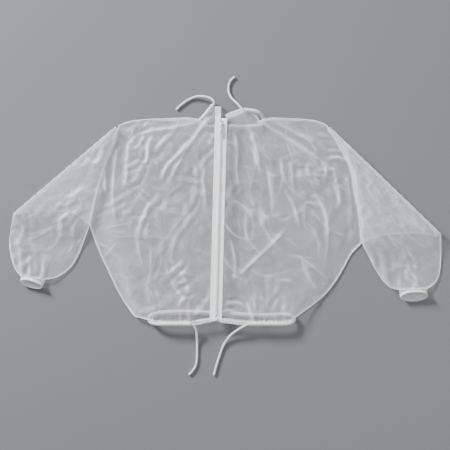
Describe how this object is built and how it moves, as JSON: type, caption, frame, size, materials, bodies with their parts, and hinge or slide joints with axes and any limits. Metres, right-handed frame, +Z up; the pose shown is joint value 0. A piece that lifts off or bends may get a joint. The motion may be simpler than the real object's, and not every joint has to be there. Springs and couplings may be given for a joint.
{
  "type": "beekeeping jacket",
  "caption": "Light see-through netting jacket with front zip, drawcord collar and hem and elastic cuffs, laid flat with the sleeves folded down.",
  "frame": {"origin": "On the surface that the jacket lies on, under the middle of the laid jacket without its cord ends", "axes": "+Z up out of the cloth, +Y towards the collar, +X towards the wearer's left sleeve"},
  "size_m": [1.1461, 0.7975, 0.0327],
  "materials": {
    "netting": "matte",
    "casing": "matte",
    "drawcord": "matte",
    "elastic": "matte",
    "zip_tape": "matte",
    "zip_coil": "satin",
    "zip_slider": "satin"
  },
  "bodies": {
    "jacket": {"back_panel": "netting", "right_front_panel": "netting", "left_front_panel": "netting", "right_sleeve_upper_back": "netting", "right_sleeve_upper_front": "netting", "left_sleeve_upper_back": "netting", "left_sleeve_upper_front": "netting", "neck_casing_right": "casing", "neck_casing_back": "casing", "neck_casing_left": "casing", "hem_casing_right": "casing", "hem_casing_back": "casing", "hem_casing_left": "casing", "neck_drawcord": "drawcord", "hem_drawcord": "drawcord", "neck_cord_tail_right": "drawcord", "neck_cord_tail_left": "drawcord", "hem_cord_tail_right": "drawcord", "hem_cord_tail_left": "drawcord", "zip_tape_right": "zip_tape", "zip_tape_left": "zip_tape", "zip_coil_right": "zip_coil", "zip_coil_left": "zip_coil", "zip_top_stop_right": "zip_coil", "zip_top_stop_left": "zip_coil", "zip_pin": "zip_coil", "zip_retainer_box": "zip_coil"},
    "right_forearm": {"right_forearm_front": "netting", "right_forearm_back": "netting", "right_cuff_elastic": "elastic"},
    "left_forearm": {"left_forearm_front": "netting", "left_forearm_back": "netting", "left_cuff_elastic": "elastic"},
    "slider": {"zip_slider": "zip_slider"},
    "pull_tab": {"zip_pull_tab": "zip_slider"}
  },
  "joints": [
    {"name": "right_sleeve_fold", "type": "hinge", "parent": "jacket", "child": "right_forearm", "pos_m": [-0.284, 0.237, 0.0124], "axis": [-0.762, -0.6476, 0], "range_deg": [0, 174]},
    {"name": "left_sleeve_fold", "type": "hinge", "parent": "jacket", "child": "left_forearm", "pos_m": [0.268, 0.237, 0.0124], "axis": [-0.72, 0.694, 0], "range_deg": [0, 174]},
    {"name": "zip_slide", "type": "slide", "parent": "jacket", "child": "slider", "axis": [-0.0269, -0.9996, 0], "range_m": [0, 0.49]},
    {"name": "pull_tab_turn", "type": "hinge", "parent": "slider", "child": "pull_tab", "pos_m": [-0.01307, 0.23631, 0.0303], "axis": [-0.9996, 0.0269, 0], "range_deg": [0, 170]}
  ]
}
